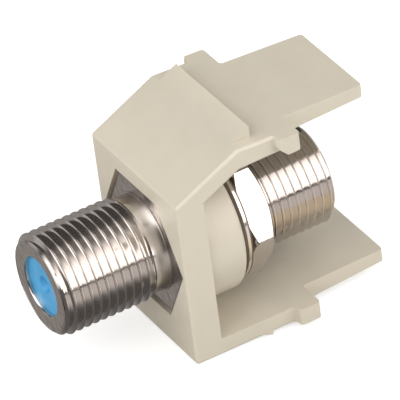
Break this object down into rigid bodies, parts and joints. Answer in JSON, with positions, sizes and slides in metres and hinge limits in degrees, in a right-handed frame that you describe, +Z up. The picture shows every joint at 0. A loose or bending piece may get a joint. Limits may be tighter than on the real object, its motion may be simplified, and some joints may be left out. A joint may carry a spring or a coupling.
{
  "type": "f connector",
  "caption": "Coaxial coupler with a threaded port at each end, clamped by a washer and a hexagon nut in a snap-in housing with two latch tongues.",
  "frame": {"origin": "on the coupler's axis, in the plane of the housing's front face", "axes": "+Y along the coupler's axis towards the rear port and the tips of the tongues, so the front port faces -Y; +Z up, towards the catch; +X to the right seen from the front"},
  "size_m": [0.016, 0.0303, 0.0207],
  "materials": {
    "housing": "satin light almond moulding",
    "plated_metal": "bright nickel plate on turned metal",
    "insulator": "satin blue moulding",
    "contact": "bright"
  },
  "bodies": {
    "insert_body": {"keystone_housing": "housing", "coupler_shell": "plated_metal", "front_insulator": "insulator", "rear_insulator": "insulator", "centre_contact": "contact"},
    "washer_body": {"washer": "plated_metal"},
    "nut_body": {"hex_nut": "plated_metal"}
  },
  "joints": [
    {"name": "washer_slide", "type": "slide", "parent": "insert_body", "child": "washer_body", "axis": [0, 1, 0], "range_m": [0, 0.00636]},
    {"name": "nut_turn", "type": "hinge", "parent": "washer_body", "child": "nut_body", "pos_m": [0, 0.0085, 0], "axis": [0, 1, 0], "range_deg": [0, 2880]}
  ],
  "couplings": [
    {"joint": "washer_slide", "follows": "nut_turn", "m_per_rad": 0.00012633}
  ]
}
